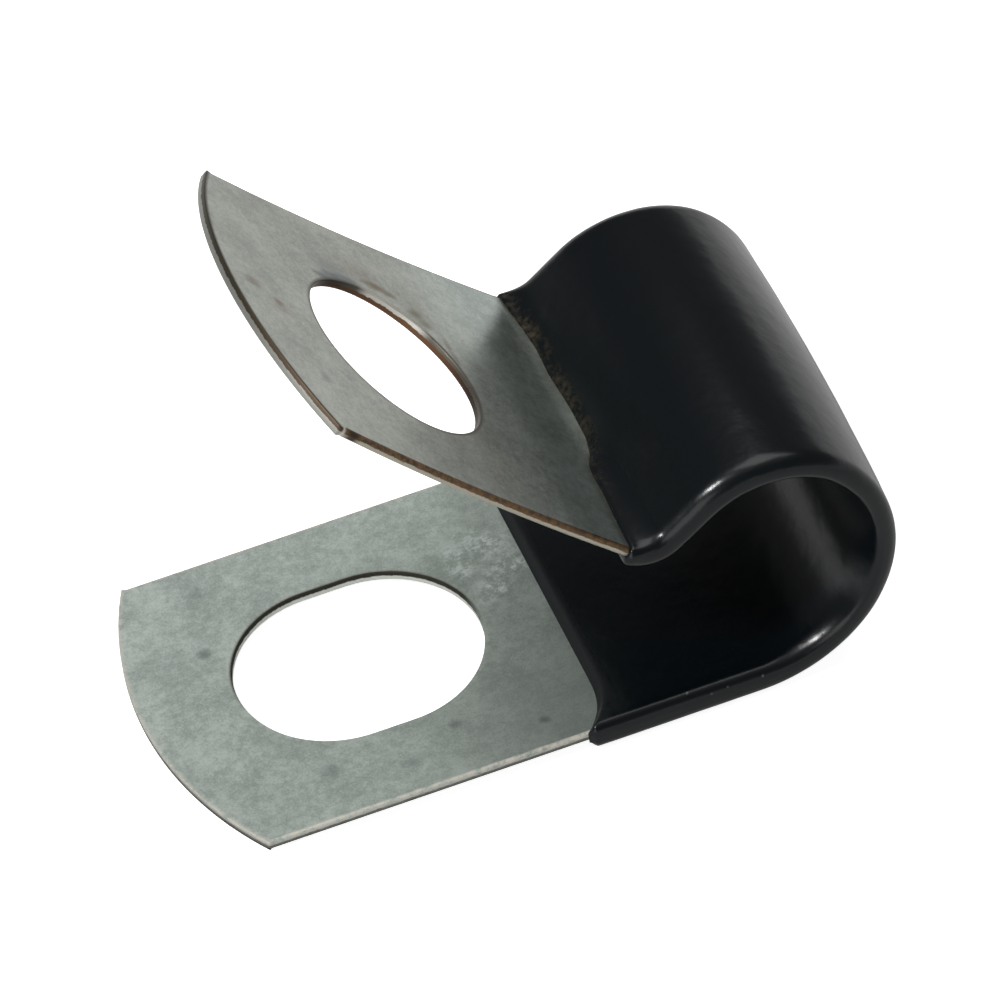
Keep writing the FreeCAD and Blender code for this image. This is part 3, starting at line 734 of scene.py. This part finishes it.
def steel_material():
    """Zinc plating: mottled grey, cooler on the lower ear, painted lighter there and darker on the upper
    ear as lit and shaded copies, with painted shade near the coat, stains, rust and frost.
    """
    paint = Paint(bpy.data.materials.new("zinc_plated_steel"))
    place = paint.millimetres()
    flat = paint.laid_flat()
    along, across, _ = paint.split(flat)
    cloud = paint.noise(place, *ZINC_CLOUD)
    mottle = paint.noise(place, *ZINC_MOTTLE)
    grain = paint.noise(place, *ZINC_GRAIN)
    pale = paint.plus(paint.times(cloud, CLOUD_SHARE), mottle)
    pale = paint.rise(paint.plus(pale, paint.times(grain, GRAIN_SHARE)), *ZINC_PALE)
    # the ears differ in tint, and their brightness is painted light and shade: the lower ear's tone is a
    # lit copy, the upper ear's a shaded copy
    cool_lit_tone = paint.mix(pale, ZINC_COOL_LIT, ZINC_COOL_PALE_LIT)
    warm_shaded_tone = paint.mix(pale, ZINC_WARM_SHADED, ZINC_WARM_PALE_SHADED)
    colour = paint.mix(paint.rise(along, *WARM_SHADED_ALONG), cool_lit_tone, warm_shaded_tone)

    # the lower ear, with painted shade towards the coat's front corner, and a painted shadow of the upper
    # ear towards its back corner
    painted_shades = [(PAINTED_SHADE_ALONG, PAINTED_SHADE_ACROSS, PAINTED_SHADE_SHARE), (SHADED_ALONG, SHADED_ACROSS, SHADED_SHARE)]
    for from_along, from_across, share in painted_shades:
        painted_shade = paint.times(paint.rise(along, *from_along), paint.rise(across, *from_across))
        painted_shade = paint.times(painted_shade, paint.rise(along, *LOWER_EAR_ALONG), share)
        colour = paint.mix(painted_shade, colour, ZINC_IN_PAINTED_SHADE)

    # the upper ear's foot, browned by the dip
    dip = paint.times(paint.rise(paint.attribute("tide"), *DIP_FROM_TIDE), paint.rise(along, *DIP_ALONG))
    colour = paint.mix(paint.times(dip, DIP_SHARE), colour, BROWN_STAIN)

    # stains on the faces that the photograph shows: outside on the upper ear, inside on the lower one
    ragged = paint.noise(place, *STAIN_RAGGED)
    facing = paint.math("MULTIPLY_ADD", paint.rise(along, *SEEN_FACE_ALONG), 2.0, -1.0)
    seen_face = paint.rise(paint.times(facing, paint.attribute("height")), *SEEN_HEIGHTS)
    crystals = paint.times(seen_face, paint.rise(mottle, *CRYSTALS))
    kinds = [
        (FROST, FROST_SPOTS, crystals),
        (GREY_STAIN, GREY_STAINS, seen_face),
        (BROWN_STAIN, BROWN_STAINS, seen_face),
        (RUST, RUST_SPOTS, seen_face),
    ]
    for tone, stains, share in kinds:
        for stain in stains:
            colour = paint.mix(paint.times(paint.stain(flat, ragged, *stain), share), colour, tone)

    colour = cut_edges(paint, colour, mottle, ragged)
    rough = paint.plus(paint.rise(along, *ROUGHER_ALONG), paint.times(mottle, ROUGH_MOTTLE))
    rough = paint.plus(ZINC_ROUGH, paint.times(rough, ZINC_ROUGHER))
    rough = paint.plus(rough, paint.times(paint.attribute("edge"), EDGE_ROUGH))
    relief = paint.plus(paint.times(mottle, RELIEF_MOTTLE), grain)
    return paint.finish(colour, rough, relief, ZINC_RELIEF, {"Metallic": ZINC_METALLIC})


# Vinyl finish

VINYL = (0.0014, 0.0028, 0.0038, 1.0)
RESIDUE = (0.030, 0.021, 0.008, 1.0)
DUST = (0.09, 0.09, 0.085, 1.0)

# dust on the front of the coat: x, y, z
DUST_SPECKS = [(-3.67, -9.49, -6.2), (-2.54, -9.79, -6.51), (0.07, -9.77, -6.49), (-1.71, -9.76, -6.44)]
DUST_RADIUS = 0.07
DUST_STRENGTH = 0.9

# noises: size of the features in millimetres, detail, roughness, shift
VINYL_PEEL = (0.9, 2.0, 0.5, 5.0)
VINYL_GRAIN = (0.12, 3.0, 0.6, 2.0)
CRUMB_NOISE = (0.3, 3.0, 0.6, 31.0)
CRUMB_PATCHES = (1.2, 2.0, 0.5, 17.0)

# residue at the upper tide line, and the duller lip at the lower one
PATCH_SHARE = 0.5
CRUMBS = (0.62, 1.08)
RESIDUE_FROM_TIDE = (1.2, 0.0)
RESIDUE_ACROSS = (-8.5, 3.0)
LOW_LIP_ALONG = (-6.7, -7.2)
LOW_LIP_ACROSS = (-9.0, -7.5)

VINYL_SPECULAR = 0.36
VINYL_ROUGH = 0.21
GRAIN_ROUGH = 0.07
RESIDUE_ROUGH = 0.4
LOW_LIP_ROUGH = 0.35
RELIEF_GRAIN = 0.12
VINYL_RELIEF = 0.00002


def vinyl_material():
    """Glossy black vinyl with a slight peel, residue at its upper tide line, and specks of dust."""
    paint = Paint(bpy.data.materials.new("black_vinyl"))
    place = paint.millimetres()
    along, across, _ = paint.split(paint.laid_flat())
    peel = paint.noise(place, *VINYL_PEEL)
    grain = paint.noise(place, *VINYL_GRAIN)
    ragged = paint.noise(place, *CRUMB_NOISE)
    patches = paint.noise(place, *CRUMB_PATCHES)
    crumbs = paint.rise(paint.plus(ragged, paint.times(patches, PATCH_SHARE)), *CRUMBS)
    near = paint.rise(paint.attribute("tide"), *RESIDUE_FROM_TIDE)
    residue = paint.times(near, paint.rise(across, *RESIDUE_ACROSS), crumbs)
    colour = paint.mix(residue, VINYL, RESIDUE)
    for center in DUST_SPECKS:
        speck = paint.spot(place, center, (DUST_RADIUS, DUST_RADIUS, DUST_RADIUS), ragged, DUST_STRENGTH)
        colour = paint.mix(speck, colour, DUST)
    low_lip = paint.times(paint.rise(along, *LOW_LIP_ALONG), paint.rise(across, *LOW_LIP_ACROSS))
    rough = paint.plus(VINYL_ROUGH, paint.times(grain, GRAIN_ROUGH))
    rough = paint.plus(rough, paint.times(residue, RESIDUE_ROUGH))
    rough = paint.plus(rough, paint.times(low_lip, LOW_LIP_ROUGH))
    relief = paint.plus(peel, paint.times(grain, RELIEF_GRAIN))
    return paint.finish(colour, rough, relief, VINYL_RELIEF, {"Specular IOR Level": VINYL_SPECULAR})


# Stage

# the photograph's camera, in the part's frame
CAMERA_EYE = Vector((-133.814, -511.303, 527.196))
CAMERA_AZIMUTH = -13.726
CAMERA_ELEVATION = 45.014
CAMERA_ROLL = -8.944
FOCAL_SHARE = 15.644
SENSOR = 36.0
CLIP_END = 10.0

# the floor, in metres, and its glow, which reflections see only behind the part
FLOOR_SIZE = 4.0
FLOOR_GAP = 0.00001
FLOOR_COLOUR = (0.6, 0.6, 0.6, 1.0)
FLOOR_GLOW_SEEN = 0.9
FLOOR_GLOW_REFLECTED = 0.2
FLOOR_GLOW_FROM = -0.03
FLOOR_GLOW_TO = 0.03

# the dome's greys from the horizon to the top, and how high the white backdrop reaches
DOME_GREYS = [(0.0, 0.45), (0.25, 0.15), (0.75, 0.15), (1.0, 0.6)]
BACKDROP_SEEN = 1.0
BACKDROP_HEIGHT = 0.22
WHITE = (1.0, 1.0, 1.0, 1.0)

# the lamps: direction from the part, size and power
LAMPS = {
    "softbox": ((0.2, 0.15, 0.95), 0.42, 1.15),
    "spark": ((-0.54, -0.21, 0.82), 0.085, 2.3),
    "fill": ((-0.6, -0.7, 0.35), 0.3, 0.5),
}
LAMP_DISTANCE = 0.6


def add_camera():
    azimuth, elevation, roll = (math.radians(a) for a in (CAMERA_AZIMUTH, CAMERA_ELEVATION, CAMERA_ROLL))
    forward = Vector((
        -math.sin(azimuth) * math.cos(elevation),
        math.cos(azimuth) * math.cos(elevation),
        -math.sin(elevation),
    ))
    level = Vector((math.cos(azimuth), math.sin(azimuth), 0.0))
    down = forward.cross(level)
    right = math.cos(roll) * level - math.sin(roll) * down
    up = -(math.sin(roll) * level + math.cos(roll) * down)
    turn = Matrix((right, up, -forward)).transposed()
    data = bpy.data.cameras.new("camera")
    data.sensor_width = SENSOR
    data.lens = FOCAL_SHARE * SENSOR
    data.clip_end = CLIP_END
    camera = bpy.data.objects.new("camera", data)
    camera.matrix_world = Matrix.Translation(CAMERA_EYE * MM) @ turn.to_4x4()
    bpy.context.scene.collection.objects.link(camera)
    bpy.context.scene.camera = camera


def backdrop_glow(paint, seen, reflected):
    """One strength for the camera's rays, another for reflected and refracted ones, and 0 for light."""
    path = paint.node("ShaderNodeLightPath").outputs
    bounced = paint.math("MAXIMUM", path["Is Glossy Ray"], path["Is Transmission Ray"])
    return paint.math("MULTIPLY_ADD", path["Is Camera Ray"], seen, paint.times(bounced, reflected))


def add_floor(level):
    """A pale floor that looks white to the camera, and keeps the part's shadow."""
    bpy.ops.mesh.primitive_plane_add(size=FLOOR_SIZE, location=(0, 0, level))
    floor = bpy.context.object
    floor.name = "floor"
    paint = Paint(bpy.data.materials.new("floor_white"))
    behind = paint.rise(paint.split(paint.coordinates("Object"))["Y"], FLOOR_GLOW_FROM, FLOOR_GLOW_TO)
    strength = backdrop_glow(paint, FLOOR_GLOW_SEEN, paint.times(behind, FLOOR_GLOW_REFLECTED))
    diffuse = paint.node("ShaderNodeBsdfDiffuse", None, {"Color": FLOOR_COLOUR})
    glow = paint.node("ShaderNodeEmission", None, {"Color": WHITE, "Strength": strength})
    both = paint.node("ShaderNodeAddShader", None, {0: diffuse.outputs[0], 1: glow.outputs[0]})
    paint.node("ShaderNodeOutputMaterial", None, {"Surface": both.outputs[0]})
    floor.data.materials.append(paint.owner)


def add_world():
    """A grey dome for even light, with a white backdrop round it for the camera and for reflections."""
    world = bpy.data.worlds.new("studio")
    bpy.context.scene.world = world
    paint = Paint(world)
    height = paint.split(paint.coordinates("Generated"))["Z"]
    ramp = paint.node("ShaderNodeValToRGB", None, {0: height})
    stops = ramp.color_ramp.elements
    for position, _ in DOME_GREYS[1:-1]:
        stops.new(position)
    for stop, (position, grey) in zip(stops, DOME_GREYS):
        stop.position = position
        stop.color = (grey, grey, grey, 1.0)
    fade = paint.rise(height, BACKDROP_HEIGHT, 0.0)
    dome = paint.node("ShaderNodeBackground", None, {"Color": ramp.outputs["Color"]})
    white = paint.node("ShaderNodeBackground", None, {"Color": WHITE})
    share = backdrop_glow(paint, BACKDROP_SEEN, fade)
    both = paint.node("ShaderNodeMixShader", None, {0: share, 1: dome.outputs[0], 2: white.outputs[0]})
    paint.node("ShaderNodeOutputWorld", None, {"Surface": both.outputs[0]})


def add_lamp(name, direction, size, power):
    """A square soft lamp that looks at the part from a direction."""
    data = bpy.data.lights.new(name, "AREA")
    data.shape = "SQUARE"
    data.size = size
    data.energy = power
    lamp = bpy.data.objects.new(name, data)
    place = Vector(direction).normalized()
    lamp.location = place * LAMP_DISTANCE
    lamp.rotation_euler = place.to_track_quat("Z", "Y").to_euler()
    bpy.context.scene.collection.objects.link(lamp)


strap = make_strap()
strap.data.materials.append(steel_material())
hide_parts("steel_strap")
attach(strap, "root")

coat = make_coat()
coat.data.materials.append(vinyl_material())
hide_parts("vinyl_coat")
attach(coat, "root")

add_camera()
add_world()
for name, (direction, size, power) in LAMPS.items():
    add_lamp(name, direction, size, power)
add_floor(cad_box[0][2] - FLOOR_GAP)

scene = bpy.context.scene
scene.view_settings.view_transform = "Standard"
